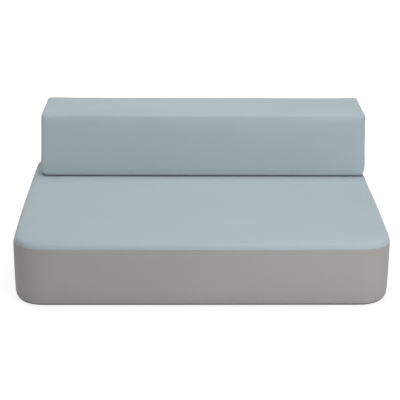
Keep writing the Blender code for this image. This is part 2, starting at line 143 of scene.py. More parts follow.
class SofaZips(bpy.types.PropertyGroup):
    tooth_pitch: length("Tooth pitch", "Distance between two teeth of one side of a coil", 0.0030)
    stitch_pitch: length("Stitch pitch", "Distance between two stitches of a seam", 0.0045)
    slot_depth: length("Slot depth", "How deep a zip's opening is", 0.0038)
    slot_half: length("Half slot", "Half the height of the opening over a chain", 0.0056)
    metal_colour: shade("Metal colour", "Colour of sliders, tabs and stops", (0.55, 0.55, 0.54))


class SofaStage(bpy.types.PropertyGroup):
    lens: FloatProperty(name="Lens", description="Focal length of the camera on a 36 mm sensor", default=109.9)
    top_power: power("Top lamp", "Power of the wide soft lamp overhead", 130.0)
    key_power: power("Key lamp", "Power of the soft lamp in front, at the right", 82.0)
    side_power: power("Side lamp", "Power of the low lamp at the left", 10.0)
    front_power: power("Front lamp", "Power of the low lamp in front", 9.0)
    rear_power: power("Rear lamp", "Power of the low lamp behind", 55.0)
    surround: FloatProperty(name="Surround", description="Strength of the even light of the room", default=0.18)
    floor_half: length("Half floor", "Half the side of the floor", 30.0)
    steps: IntProperty(name="Simulation frames", description="Frames that the cloth simulations run for", default=20)


# Helpers for meshes


def object_of(name, bm):
    mesh = bpy.data.meshes.new(name)
    bm.to_mesh(mesh)
    bm.free()
    mesh.shade_smooth()
    made = bpy.data.objects.new(name, mesh)
    bpy.context.scene.collection.objects.link(made)
    return made


def settled(thing):
    """Applies a piece's modifiers, so that its mesh is final."""
    dg = bpy.context.evaluated_depsgraph_get()
    mesh = bpy.data.meshes.new_from_object(thing.evaluated_get(dg), depsgraph=dg)
    old = thing.data
    thing.modifiers.clear()
    thing.data = mesh
    bpy.data.meshes.remove(old)
    mesh.name = thing.name
    return thing


def places_of(mesh):
    co = np.zeros(len(mesh.vertices) * 3)
    mesh.vertices.foreach_get("co", co)
    return co.reshape(-1, 3)


def put_places(mesh, co):
    mesh.vertices.foreach_set("co", np.asarray(co, float).ravel())
    mesh.update()


def lap(values, low, high):
    """0 below low, 1 above high, smooth between."""
    t = np.clip((values - low) / (high - low), 0, 1)
    return t * t * (3 - 2 * t)


def hump(values):
    """1 at 0, and 0 from 1 on."""
    return np.clip(1 - values**2, 0, 1)


def add_box(bm, low, high):
    low, high = Vector(low), Vector(high)
    made = bmesh.ops.create_cube(bm, size=1)["verts"]
    bmesh.ops.scale(bm, vec=high - low, verts=made)
    bmesh.ops.translate(bm, vec=(low + high) / 2, verts=made)
    return made


def box_mesh(low, high):
    bm = bmesh.new()
    add_box(bm, low, high)
    return bm


def round_edges(bm, edges, radius, steps, clamp=False):
    bmesh.ops.bevel(
        bm, geom=edges, offset=radius, segments=steps, profile=0.5, affect="EDGES", material=-1, clamp_overlap=clamp
    )


def add_rounded_box(bm, low, high, radius, steps=2):
    made = add_box(bm, low, high)
    round_edges(bm, list({e for v in made for e in v.link_edges}), radius, steps, clamp=True)


def cut_across(bm, geom, axis, place):
    """Cuts geometry by a plane across an axis."""
    point, normal = Vector(), Vector()
    point[axis], normal[axis] = place, 1.0
    bmesh.ops.bisect_plane(bm, geom=geom, dist=TINY, plane_co=point, plane_no=normal)


def slice_at(bm, axis, places):
    for place in places:
        cut_across(bm, bm.verts[:] + bm.edges[:] + bm.faces[:], axis, place)


def even_lines(start, end, step):
    count = max(1, round((end - start) / step))
    return [start + (end - start) * i / count for i in range(count + 1)]


def rounding_lines(edge, radius, inward, wide=0.1, small=0.012):
    """Lines across a rounded edge that lie at equal angles once it is rounded."""
    steps = 6 if radius > wide else 4 if radius > small else 3
    return [edge + inward * radius * (1 - math.tan(math.pi / 4 * i / steps)) for i in range(steps)]


def thinned(lines, seams, beside=0.0035, least=0.0013):
    """Lines in order without any that nearly meet, and with three at each seam in place of those beside it."""
    for seam in seams:
        lines = [line for line in lines if abs(line - seam) > 1.5 * beside]
    kept = []
    for line in sorted(lines):
        if not kept or line - kept[-1] > least:
            kept.append(line)
    for seam in seams:
        kept += [seam - beside, seam, seam + beside]
    return kept


class SoftBlock:
    """One foam block, as a sliced box with the moves that round it and fill it.

    Wide corners turn about the axis 'through'. The edges round its two faces have radii of their own.
    corner_of and ring_of give these two radii for points measured from the block's middle.
    """

    crown = bow_front = bow_end = bow_plan = 0.0
    flare = lean = rear_draw = foot_lift = 0.0

    # Where each move sets in and where it is full, as shares of the way to the side that it belongs to
    draw_band = (0.6, 1.0)
    front_band = (0.7, 0.9)
    end_band = (0.965, 0.997)
    foot_band = (0.0, 0.12)
    top_band = (0.82, 0.96)
    corner_lift, corner_tuck = 2.5, 1.5  # what the foot's corners add to its lift, upwards and inwards
    crown_power = 1.3

    def __init__(self, low, high, through, corner_of, ring_of):
        self.low, self.high = np.array(low), np.array(high)
        self.middle, self.half = (self.low + self.high) / 2, (self.high - self.low) / 2
        self.through = through
        self.corner_of, self.ring_of = corner_of, ring_of
        self.crown_rear = self.high[1]

    def sliced_box(self, step, radii, seams):
        """A box cut at its roundings, at its seams and evenly between. radii has those at each side of each axis."""
        bm = box_mesh(self.low, self.high)
        for axis, sides in enumerate(radii):
            lines = even_lines(self.low[axis] + max(sides[0]), self.high[axis] - max(sides[1]), step)
            for edge, inward, side in ((self.low[axis], 1, sides[0]), (self.high[axis], -1, sides[1])):
                for radius in side:
                    lines += rounding_lines(edge, radius, inward)
            slice_at(bm, axis, thinned(lines, seams if axis == self.through else ()))
        return bm

    def rounded(self, co):
        """Where the points of the sliced box lie on the rounded block."""
        c = self.through
        a, b = (axis for axis in range(3) if axis != c)
        out = co - self.middle
        far = np.abs(out)
        corner, ring = self.corner_of(out), self.ring_of(out)
        # share of each rounding that a point is into, first round the face's rim, then round the wide corner
        inward = np.minimum(self.half[a] - far[:, a], self.half[b] - far[:, b])
        across = np.maximum(ring - inward, 0) / ring
        upward = np.maximum(ring - (self.half[c] - far[:, c]), 0) / ring
        both = (across > 0) & (upward > 0)
        spoke = np.where(both, np.hypot(across, upward), 1)
        biggest = np.maximum(across, upward)
        shift = np.where(both, (across - across / spoke * biggest) * ring, 0)
        height = self.half[c] - ring + upward / spoke * biggest * ring
        new = far.copy()
        new[:, c] = np.where(both, height, far[:, c])
        past_a = np.maximum(far[:, a] - (self.half[a] - corner), 0) / corner
        past_b = np.maximum(far[:, b] - (self.half[b] - corner), 0) / corner
        in_corner = (past_a > 0) & (past_b > 0)
        spoke = np.where(in_corner, np.hypot(past_a, past_b), 1)
        radial = np.maximum(corner * np.maximum(past_a, past_b) - shift, 0)
        for axis, past, other in ((a, past_a, past_b), (b, past_b, past_a)):
            flat = np.where(past > other, far[:, axis] - shift, far[:, axis])
            new[:, axis] = np.where(in_corner, self.half[axis] - corner + radial * past / spoke, flat)
        return np.sign(out) * new + self.middle

    def filled(self, co):
        """The rounded block's points moved to the crown, bows, flare and lean that its stuffing gives."""
        out = co.copy()
        rel = (co - self.middle) / self.half
        side = np.sign(rel[:, 0])
        up, rearward = (rel[:, 2] + 1) / 2, (rel[:, 1] + 1) / 2
        belly = hump(2 * up - 1)
        out[:, 1] -= self.bow_front * belly * hump(rel[:, 0]) * np.maximum(-rel[:, 1], 0) ** 2
        bow = self.bow_end * belly + self.bow_plan
        out[:, 0] += bow * hump(rel[:, 1]) * rel[:, 0] * np.abs(rel[:, 0])
        out[:, 0] += self.flare * (1 - up) * rel[:, 0]
        out[:, 1] += self.lean * up * (1 - rearward) - self.rear_draw * lap(up, *self.draw_band) * rearward
        near_end = lap(np.abs(rel[:, 0]), *self.end_band)
        lift = self.foot_lift * (1 - lap(up, *self.foot_band)) * lap(-rel[:, 1], *self.front_band)
        out[:, 2] += lift * (1 + self.corner_lift * near_end)
        out[:, 0] -= lift * self.corner_tuck * near_end * side
        along = (2 * co[:, 1] - self.low[1] - self.crown_rear) / (self.crown_rear - self.low[1])
        rise = (hump(rel[:, 0]) * hump(along)) ** self.crown_power
        out[:, 2] += self.crown * rise * lap(rel[:, 2], *self.top_band)
        return out


def lay_weave(mesh, box_co, middle, half):
    """A UV map in metres that follows the panels: along X and Y on top, round the sides below."""
    layer = mesh.uv_layers.new(name="weave")
    hx, hy, _ = half
    uv = np.zeros((len(mesh.loops), 2), np.float32)
    rel = box_co - middle
    for face in mesh.polygons:
        points = rel[list(face.vertices)]
        side = int(np.argmin(np.ptp(points, axis=0)))
        sign = 1 if points[:, side].mean() > 0 else -1
        for k, loop in enumerate(face.loop_indices):
            x, y, z = points[k]
            if side == 2:
                uv[loop] = (x, sign * y)
            elif side == 1:
                uv[loop] = (x, z) if sign < 0 else (2 * hx + 2 * hy - x, z)
            else:
                uv[loop] = (sign * (hx + hy + y), z)
    layer.data.foreach_set("uv", uv.ravel())


def stuff(thing, held, cap):
    """Fills a closed cover by cloth simulation. held gives each point's pin weight, cap the most it may move."""
    scene = bpy.context.scene
    frames = scene.sofa_stage.steps
    rest = places_of(thing.data)
    group = thing.vertex_groups.new(name="held")
    for level in np.unique(np.round(held, 2)):
        if level > 0:
            group.add([int(i) for i in np.nonzero(np.round(held, 2) == level)[0]], float(level), "REPLACE")
    cloth = thing.modifiers.new("stuffing", "CLOTH")
    settings = cloth.settings
    settings.quality = 6
    settings.mass = 0.4
    settings.tension_stiffness = 40
    settings.compression_stiffness = 40
    settings.shear_stiffness = 20
    settings.bending_stiffness = 4
    settings.use_pressure = True
    settings.uniform_pressure_force = scene.sofa_covers.pressure
    settings.effector_weights.gravity = 0
    settings.vertex_group_mass = "held"
    settings.pin_stiffness = 2.0
    cloth.collision_settings.use_collision = False
    cloth.collision_settings.use_self_collision = False
    cloth.point_cache.frame_start = 1
    cloth.point_cache.frame_end = frames
    for number in range(1, frames + 1):
        scene.frame_set(number)
    dg = bpy.context.evaluated_depsgraph_get()
    moved = places_of(thing.evaluated_get(dg).data)
    thing.modifiers.clear()
    thing.vertex_groups.clear()
    scene.frame_set(1)
    step = moved - rest
    far = np.linalg.norm(step, axis=1)
    print(f"{thing.name}: moved {far.mean() * 1000:.1f} mm on average, {far.max() * 1000:.1f} at most")
    soft = cap * np.tanh(far / cap)
    put_places(thing.data, rest + step * (soft / np.maximum(far, TINY**2))[:, None])


def smooth_once(thing):
    """One level of subdivision, applied."""
    subdivision = thing.modifiers.new("smooth", "SUBSURF")
    subdivision.levels = subdivision.render_levels = 1
    subdivision.uv_smooth = "PRESERVE_BOUNDARIES"
    return settled(thing)


def cut_cushion(name, block, step, radii, seams, panel_of):
    """A block's cushion before it is stuffed, and where its points lie on the plain box.

    panel_of gives a face's panel from its place along the block's axis.
    """
    thing = object_of(name, block.sliced_box(step, radii, seams))
    box_co = places_of(thing.data)
    lay_weave(thing.data, box_co, block.middle, block.half)
    for face in thing.data.polygons:
        face.material_index = panel_of(np.mean([box_co[v, block.through] for v in face.vertices]))
    put_places(thing.data, block.filled(block.rounded(box_co)))
    return thing, box_co


def stuff_cushion(thing, block, box_co, seams, cap, depth, still=False):
    """Fills a cushion, draws its seams in and gives its points' places.

    Its foot, its rear and the points marked in still stay put.
    """
    at_seam = np.any([np.abs(box_co[:, block.through] - seam) < TINY for seam in seams], axis=0)
    held = np.where(at_seam, SEAM_HOLD, 0.0)
    held[(box_co[:, 2] < block.low[2] + TINY) | (box_co[:, 1] > REAR - TINY) | still] = 1.0
    stuff(thing, held, cap)
    co = places_of(thing.data)
    outward = co - block.middle
    outward[:, block.through] = 0
    outward /= np.maximum(np.linalg.norm(outward, axis=1), TINY)[:, None]
    co -= outward * (at_seam * depth)[:, None]
    co[:, 1] = np.minimum(co[:, 1], REAR)
    co[:, 2] = np.maximum(co[:, 2], block.low[2])
    return co


def on_rear(face, square=0.9, near=0.001):
    return face.normal.y > square and abs(face.calc_center_median().y - REAR) < near


def open_slot(bm, low_x, high_x, z, half, depth, turn=0.0010):
    """Sinks a long pocket for a zip into the flat rear face, with a turned edge."""
    bm.normal_update()
    for axis, place in ((2, z - half), (2, z + half), (0, low_x), (0, high_x)):
        faces = [f for f in bm.faces if on_rear(f)]
        around = list({v for f in faces for v in f.verts} | {e for f in faces for e in f.edges})
        cut_across(bm, around + faces, axis, place)
        bm.normal_update()
    inside = []
    for face in bm.faces:
        middle = face.calc_center_median()
        if on_rear(face) and low_x < middle.x < high_x and abs(middle.z - z) < half:
            inside.append(face)
    if not inside:
        raise RuntimeError("no part of the rear lies where the zip's slot goes")
    chosen = set(inside)
    outline = [e for f in inside for e in f.edges if sum(g in chosen for g in e.link_faces) == 1]
    sunk = bmesh.ops.extrude_face_region(bm, geom=inside)
    bmesh.ops.delete(bm, geom=inside, context="FACES_ONLY")
    bmesh.ops.translate(bm, vec=(0, -depth, 0), verts=points_in(sunk))
    round_edges(bm, [e for e in outline if e.is_valid], turn, 2, clamp=True)
    bm.normal_update()


def points_in(result):
    """The vertices among the geometry that an extrusion gives back."""
    return [v for v in result["geom"] if isinstance(v, bmesh.types.BMVert)]


def split_panels(thing, panels, axis, lip, slots, middle=None):
    """Cuts a cushion into its panels by material index. Each gets a lip turned in at its seams and is closed.

    The lips turn in at right angles to the axis, towards the middle, which is the panel's own where none is given.
    """
    made = []
    for index, (name, colour) in enumerate(panels):
        bm = bmesh.new()
        bm.from_mesh(thing.data)
        others = [f for f in bm.faces if f.material_index != index]
        bmesh.ops.delete(bm, geom=others, context="FACES")
        bm.normal_update()
        rim = [e for e in bm.edges if e.is_boundary]
        new = points_in(bmesh.ops.extrude_edge_only(bm, edges=rim))
        centre = Vector(np.mean([v.co for v in bm.verts], axis=0)) if middle is None else middle
        for vert in new:
            away = vert.co - centre
            away[axis] = 0.0
            vert.co -= away.normalized() * lip
        bmesh.ops.holes_fill(bm, edges=[e for e in bm.edges if e.is_boundary], sides=0)
        bm.normal_update()
        if name in slots:
            open_slot(bm, *slots[name])
        for face in bm.faces:
            face.material_index = 0
        panel = object_of(name, bm)
        panel.data.materials.clear()
        panel.data.materials.append(colour)
        made.append(panel)
    bpy.data.objects.remove(thing, do_unlink=True)
    return made


def mark_rubbed(thing, block, reach, full=0.4):
    """Stores where the fabric runs over an upper edge, which is where it rubs. reach is that edge's width."""
    rel = np.abs(places_of(thing.data) - block.middle) - block.half
    edge = lap(np.minimum(np.maximum(rel[:, 0], rel[:, 1]), rel[:, 2]), -reach, -reach * full)
    layer = thing.data.attributes.new("rub", "FLOAT", "POINT")
    layer.data.foreach_set("value", edge.astype(np.float32))


def zip_slot(prefix):
    """Where a zip's opening lies: its ends, its height, and its half height and depth."""
    zips = bpy.context.scene.sofa_zips
    low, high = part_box(f"{prefix}_zip_chain")
    return low.x - SLOT_PAST, high.x + SLOT_PAST, (low.z + high.z) / 2, zips.slot_half, zips.slot_depth


def repeated(name, unit, step, count):
    """A row of one small shape, made by an array that is then applied."""
    thing = object_of(name, unit)
    row = thing.modifiers.new("row", "ARRAY")
    row.use_relative_offset = False
    row.use_constant_offset = True
    row.constant_offset_displace = step
    row.count = count
    return settled(thing)


def stitch_rows(name, low_x, high_x, y, heights, pitch):
    """Rows of stitches along X on a surface that faces the rear, one row at each height."""
    unit = bmesh.new()
    for z in heights:
        stitch = bmesh.ops.create_icosphere(unit, subdivisions=1, radius=0.5)["verts"]
        bmesh.ops.scale(unit, vec=(pitch * STITCH_SHARE, STITCH_OUT, STITCH_WIDE), verts=stitch)
        bmesh.ops.translate(unit, vec=(low_x + pitch / 2, y, z), verts=stitch)
    return repeated(name, unit, (pitch, 0, 0), int((high_x - low_x) / pitch))


# Helpers for materials


class Nodes:
    """A node tree, with short ways to add nodes. Each gives the outputs, or the one output, of what it adds."""

    def __init__(self, tree):
        self.tree = tree

    def add(self, kind, inputs, **settings):
        """Adds a node and gives its sockets numbers, colours or the outputs of other nodes."""
        made = self.tree.nodes.new(kind)
        for key, value in settings.items():
            setattr(made, key, value)
        for socket, value in inputs.items():
            if isinstance(value, bpy.types.NodeSocket):
                self.tree.links.new(value, made.inputs[socket])
            else:
                made.inputs[socket].default_value = value
        return made.outputs

    def math(self, operation, first, second=0.0):
        return self.add("ShaderNodeMath", {0: first, 1: second}, operation=operation)[0]

    def times(self, first, *others):
        for other in others:
            first = self.math("MULTIPLY", first, other)
        return first

    def place(self):
        return self.add("ShaderNodeTexCoord", {})["Object"]

    def noise(self, vector, scale, detail=2.0):
        inputs = {"Vector": vector, "Scale": scale, "Detail": detail, "Roughness": 0.5}
        return self.add("ShaderNodeTexNoise", inputs)["Fac"]

    def spread(self, value, low, high, out_low, out_high, **settings):
        inputs = {"Value": value, "From Min": low, "From Max": high, "To Min": out_low, "To Max": out_high}
        return self.add("ShaderNodeMapRange", inputs, **settings)["Result"]

    def scaled(self, vector, factor):
        return self.add("ShaderNodeMapping", {"Vector": vector, "Scale": factor}, vector_type="POINT")["Vector"]

    def seen_apart(self, lighting, seen, output):
        """Shows one shader to the camera, mirrors and glass, and gives another to the rays that carry light."""
        path = self.add("ShaderNodeLightPath", {})
        directly = self.math("MAXIMUM", path["Is Camera Ray"], path["Is Glossy Ray"])
        directly = self.math("MAXIMUM", directly, path["Is Transmission Ray"])
        choice = self.add("ShaderNodeMixShader", {0: directly, 1: lighting, 2: seen})[0]
        self.add(output, {0: choice})


class Finish(Nodes):
    """A new material's nodes, with ways to set its surface."""

    def __init__(self, name, roughness, metallic=0.0, sheen=0.0):
        self.material = bpy.data.materials.new(name)
        self.material.use_nodes = True
        super().__init__(self.material.node_tree)
        self.skin = self.tree.nodes["Principled BSDF"]
        self.set("Roughness", roughness)
        self.set("Metallic", metallic)
        self.set("Sheen Weight", sheen)

    def set(self, socket, value):
        self.skin.inputs[socket].default_value = value

    def colour(self, colour, light):
        """Colours the surface. light multiplies the colour's brightness."""
        lit = self.add("ShaderNodeHueSaturation", {"Color": (*colour, 1.0), "Value": light})["Color"]
        self.tree.links.new(lit, self.skin.inputs["Base Color"])

    def rough(self, value):
        self.tree.links.new(value, self.skin.inputs["Roughness"])

    def bump(self, height, strength, distance):
        inputs = {"Strength": strength, "Distance": distance, "Height": height}
        self.tree.links.new(self.add("ShaderNodeBump", inputs)["Normal"], self.skin.inputs["Normal"])


def plain_weave(cloth, vector, pitch):
    """Height of a plain weave, 0 to 1: threads that pass over and under in turn."""
    grid = cloth.scaled(vector, (1 / pitch, 1 / pitch, 1 / pitch))
    parts = cloth.add("ShaderNodeSeparateXYZ", {0: grid})
    warp, weft = (cloth.math("ABSOLUTE", cloth.math("SINE", cloth.times(part, math.pi))) for part in parts[:2])
    over = cloth.add("ShaderNodeTexChecker", {"Vector": grid, "Scale": 1.0})["Fac"]
    return cloth.add("ShaderNodeMix", {"Factor": over, "A": warp, "B": weft}, data_type="FLOAT")["Result"]


def cover_fabric(name, colour, pitch):
    """Woven upholstery fabric: threads, slubs along the weft, soft shading and rubbed edges."""
    cloth = Finish(name, 0.85, sheen=0.25)
    cloth.set("Sheen Roughness", 0.5)
    cloth.set("Specular IOR Level", 0.25)
    uv = cloth.add("ShaderNodeUVMap", {}, uv_map="weave")["UV"]
    place = cloth.place()
    weave = plain_weave(cloth, uv, pitch)
    slubs = cloth.noise(cloth.scaled(uv, (18, 420, 1)), 1.0, 3.0)
    warp_slubs = cloth.noise(cloth.scaled(uv, (420, 22, 1)), 1.0, 3.0)
    clouds = cloth.noise(place, 2.6, 3.0)
    rub = cloth.add("ShaderNodeAttribute", {}, attribute_name="rub")["Fac"]
    worn = cloth.times(rub, cloth.spread(cloth.noise(place, 55, 4.0), 0.35, 0.65, 0.2, 1.0))
    light = cloth.times(
        cloth.spread(weave, 0, 1, 0.955, 1.03),
        cloth.spread(slubs, 0.25, 0.75, 0.975, 1.025),
        cloth.spread(warp_slubs, 0.25, 0.75, 0.98, 1.02),
        cloth.spread(clouds, 0.3, 0.7, 0.985, 1.015),
        cloth.math("ADD", cloth.times(worn, 0.01), 1.0),
    )
    cloth.colour(colour, light)
    fuzz = cloth.noise(uv, 1600)
    cloth.rough(cloth.spread(fuzz, 0.3, 0.7, 0.80, 0.92))
    cloth.bump(cloth.math("ADD", weave, cloth.times(fuzz, 0.5)), 0.35, 0.0003)
    return cloth.material


def grip_underside(colour):
    """Dark backing fabric with raised rubber dots."""
    cloth = Finish("underside_grip_fabric", 0.8)
    uv = cloth.add("ShaderNodeUVMap", {}, uv_map="weave")["UV"]
    weave = plain_weave(cloth, uv, 0.0014)
    inputs = {"Vector": uv, "Scale": 110, "Randomness": 0.0}
    dots = cloth.add("ShaderNodeTexVoronoi", inputs, feature="F1", voronoi_dimensions="2D")
    dot = cloth.spread(dots["Distance"], 0.22, 0.30, 1.0, 0.0)
    cloth.colour(colour, cloth.times(cloth.spread(weave, 0, 1, 0.8, 1.15), cloth.spread(dot, 0, 1, 1.0, 0.55)))
    cloth.rough(cloth.spread(dot, 0, 1, 0.88, 0.45))
    cloth.bump(cloth.math("ADD", cloth.times(dot, 2.0), weave), 0.5, 0.0006)
    return cloth.material


def tape_cloth(name, colour, pitch=0.0009):
    """Ribbed woven tape of the zips."""
    cloth = Finish(name, 0.85, sheen=0.15)
    place = cloth.place()
    parts = cloth.add("ShaderNodeSeparateXYZ", {0: place})
    lean = cloth.math("ADD", parts[0], cloth.math("PINGPONG", parts[2], pitch * 4))
    rib = cloth.math("SINE", cloth.times(lean, TURN / pitch))
    fuzz = cloth.spread(cloth.noise(place, 900), 0.3, 0.7, 0.92, 1.08)
    cloth.colour(colour, cloth.times(cloth.spread(rib, -1, 1, 0.86, 1.1), fuzz))
    cloth.bump(rib, 0.4, 0.0002)
    return cloth.material


def grip_pile(name, colour, scale):
    """The looped or hooked face of grip tape."""
    pile = Finish(name, 0.9, sheen=0.4)
    inputs = {"Vector": pile.place(), "Scale": scale}
    cells = pile.add("ShaderNodeTexVoronoi", inputs, feature="F1")["Distance"]
    pile.colour(colour, pile.spread(cells, 0.0, 0.7, 1.35, 0.6))
    pile.bump(pile.times(cells, -1.0), 0.7, 0.0008)
    return pile.material


def moulded_coil(colour):
    """Nylon of the zips' teeth, slightly uneven and worn."""
    nylon = Finish("zip_coil_nylon", 0.4)
    place = nylon.place()
    nylon.colour(colour, nylon.spread(nylon.noise(place, 60, 3.0), 0.3, 0.7, 0.92, 1.08))
    nylon.rough(nylon.spread(nylon.noise(place, 700), 0.3, 0.7, 0.34, 0.5))
    nylon.bump(nylon.noise(place, 1500), 0.15, 0.0001)
    return nylon.material


def brushed_metal(colour):
    """Satin zinc of sliders, tabs and stops, with fine scratches and dulled spots."""
    zinc = Finish("zip_satin_zinc", 0.35, metallic=1.0)
    place = zinc.place()
    scratches = zinc.noise(zinc.scaled(place, (300, 2500, 2500)), 1.0, 3.0)
    spots = zinc.spread(zinc.noise(place, 160, 3.0), 0.3, 0.7, 0.9, 1.06)
    zinc.colour(colour, zinc.times(zinc.spread(scratches, 0.3, 0.7, 0.93, 1.07), spots))
    zinc.rough(zinc.spread(scratches, 0.3, 0.7, 0.28, 0.45))
    zinc.bump(scratches, 0.1, 0.00005)
    return zinc.material


def sewing_thread(name, colour):
    thread = Finish(name, 0.6, sheen=0.2)
    twist = thread.noise(thread.scaled(thread.place(), (2600, 900, 900)), 1.0)
    thread.colour(colour, thread.spread(twist, 0.3, 0.7, 0.85, 1.12))
    thread.bump(twist, 0.4, 0.0001)
    return thread.material


def studio_floor():
    """Pale floor that reads as white to the camera and keeps the object's shadow, which fades further off."""
    material = bpy.data.materials.new("studio_floor")
    material.use_nodes = True
    floor = Nodes(material.node_tree)
    floor.tree.nodes.clear()
    real = floor.add("ShaderNodeBsdfDiffuse", {"Color": (0.92, 0.92, 0.92, 1)})[0]
    faint = floor.add("ShaderNodeBsdfDiffuse", {"Color": (0.30, 0.30, 0.30, 1)})[0]
    near, far = 1.0, 2.2  # metres from the middle between which the floor turns white
    under, around = 0.82, 1.0
    distance = floor.add("ShaderNodeVectorMath", {0: floor.place()}, operation="LENGTH")["Value"]
    strength = floor.spread(distance, near, far, under, around, interpolation_type="SMOOTHSTEP")
    glow = floor.add("ShaderNodeEmission", {"Strength": strength})[0]
    lit = floor.add("ShaderNodeAddShader", {0: faint, 1: glow})[0]
    floor.seen_apart(real, lit, "ShaderNodeOutputMaterial")
    return material


def shared_material(name, make, *values):
    """A material by name, made the first time that it is asked for."""
    return bpy.data.materials.get(name) or make(name, *values)


def seat_fabric():
    covers = bpy.context.scene.sofa_covers
    return shared_material("blue_grey_cover", cover_fabric, tuple(covers.seat_colour), covers.thread_pitch)


def seat_thread():
    return shared_material("thread_blue_grey", sewing_thread, (0.34, 0.41, 0.44))


# Pieces


def dress_panels(panels, block, reach, body):
    """Marks where each padded panel rubs, hides the nodes that it replaces and attaches it to its body. panels gives
    the piece, its slot and the nodes that it replaces.
    """
    for panel, slot, nodes in panels:
        mark_rubbed(panel, block, reach)
        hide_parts(*nodes)
        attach(panel, body)


class SOFA_OT_base(bpy.types.Operator):
    """Makes the base's padded cover: top panel, border and grippy underside"""

    bl_idname = "sofa_bed.base"
    bl_label = "Base cover"
    foot_turn = 0.004  # the border is sewn to the underside this far above the CAD's edge
    seam_drop = 0.0015  # and to the top panel this far below the CAD's edge
    mesh_step = 0.026
    front_share = 0.4  # the ends bulge by this share of the front's bow
    most_fill = 0.004  # the furthest that stuffing moves the cloth
    flat_past = 0.01  # the seat's flat runs this far out in front of the back block
    lip = 0.006

    def execute(self, context):
        covers = context.scene.sofa_covers
        seam = TOP_LOW.z - self.seam_drop
        foot_seam = BORDER_LOW.z + self.foot_turn
        low, high = (-covers.base_width / 2, -REAR, 0.0), (covers.base_width / 2, REAR, SEAT_TOP)
        rear_of_seat = WRAP_LOW.y
        top, foot, corner = covers.base_top_round, covers.base_foot_round, covers.base_corner

        def corner_of(rel):
            front_left = (rel[:, 0] < 0) & (rel[:, 1] < 0)
            spread = covers.base_corner_spread * (0.5 - rel[:, 2] / SEAT_TOP)
            return corner + spread - covers.base_corner_tighter * front_left

        def ring_of(rel):
            return np.where(rel[:, 2] > 0, top, foot)

        def panel_of(z):
            return 0 if z > seam else 1 if z > foot_seam else 2

        block = SoftBlock(low, high, 2, corner_of, ring_of)
        block.crown, block.crown_rear = covers.base_crown, rear_of_seat
        block.bow_front, block.bow_end = covers.base_bow, covers.base_bow * self.front_share
        block.bow_plan = covers.base_end_bow
        wide = ((top, foot, corner),) * 2
        radii = (wide, wide, ((foot,), (top,)))
        thing, box_co = cut_cushion("base_cushion", block, self.mesh_step, radii, (seam, foot_seam), panel_of)
        rear_zone = rear_of_seat - self.flat_past
        under_back = (box_co[:, 2] > high[2] - TINY) & (box_co[:, 1] > rear_zone)
        co = stuff_cushion(thing, block, box_co, (seam,), self.most_fill, covers.seam_depth, under_back)
        co[:, 2] = np.where(co[:, 1] > rear_zone, np.minimum(co[:, 2], SEAT_TOP), co[:, 2])
        put_places(thing.data, co)
        smooth_once(thing)
        colours = (
            ("base_top_panel", seat_fabric()),
            ("base_border", cover_fabric("warm_grey_cover", tuple(covers.border_colour), covers.thread_pitch)),
            ("base_underside", grip_underside((0.06, 0.06, 0.065))),
        )
        panels = split_panels(thing, colours, 2, self.lip, {"base_border": zip_slot("base")})
        slots = ("blue_grey_fabric", "warm_grey_fabric", "grip_fabric")
        nodes = (
            ("base_cover_top", "base_foam_comfort"),
            ("base_cover_border", "base_wadding", "base_foam_support"),
            ("base_cover_bottom",),
        )
        dress_panels(zip(panels, slots, nodes), block, top, "base")
        return {"FINISHED"}


class SOFA_OT_back(bpy.types.Operator):
    """Makes the back block's padded cover: wrap and two end panels"""

    bl_idname = "sofa_bed.back"
    bl_label = "Back block cover"
    mesh_step = 0.022
    rear_band = (-0.1, 0.4)  # the left end's rounding grows from here to here, as shares of the block's depth
    upper_band = (0.0, 0.1)  # and in metres above its middle
    seam_share = 0.6  # its seams are drawn in by this share of the seam depth
    most_fill = 0.003
    lip = 0.004

    def execute(self, context):
        covers = context.scene.sofa_covers
        half, middle = covers.back_width / 2, HINGE.x + covers.back_shift
        low = (middle - half, WRAP_LOW.y + covers.back_bow, WRAP_LOW.z)
        high = (middle + half, REAR, WRAP_HIGH.z - covers.back_crown + covers.back_rise)
        seams = (low[0] + covers.back_end_seam, high[0] - covers.back_end_seam)
        top, foot = covers.back_top_round, covers.back_foot_round
        end, rear_end = covers.back_end_round, covers.back_rear_end_round

        def corner_of(rel):
            return np.where(rel[:, 2] > 0, top, foot)

        def ring_of(rel):
            grown = lap(rel[:, 1] / (high[1] - low[1]), *self.rear_band) * lap(rel[:, 2], *self.upper_band)
            return end + (rear_end - end) * grown * (rel[:, 0] < 0)

        def panel_of(x):
            return 1 if x < seams[0] else 2 if x > seams[1] else 0

        block = SoftBlock(low, high, 0, corner_of, ring_of)
        block.crown, block.flare = covers.back_crown, covers.back_flare
        block.lean, block.rear_draw, block.foot_lift = covers.back_lean, covers.back_rear_draw, covers.back_foot_lift
        block.bow_front = block.bow_end = covers.back_bow
        ends, wide = (end, rear_end), (end, top)
        radii = ((ends, ends), (wide, wide), ((end, foot), wide))
        thing, box_co = cut_cushion("back_cushion", block, self.mesh_step, radii, seams, panel_of)
        depth = covers.seam_depth * self.seam_share
        put_places(thing.data, stuff_cushion(thing, block, box_co, seams, self.most_fill, depth))
        smooth_once(thing)
        colours = [(name, seat_fabric()) for name in ("back_wrap", "back_end_left", "back_end_right")]
        heart = Vector((0.0, (WRAP_LOW.y + REAR) / 2, (WRAP_LOW.z + WRAP_HIGH.z) / 2))
        panels = split_panels(thing, colours, 0, self.lip, {"back_wrap": zip_slot("back")}, heart)
        nodes = (
            ("back_cover_wrap", "back_wadding", "back_foam_core"),
            ("back_cover_end_left",),
            ("back_cover_end_right",),
        )
        dress_panels(zip(panels, ("blue_grey_fabric",) * 3, nodes), block, top, "backrest")
        return {"FINISHED"}


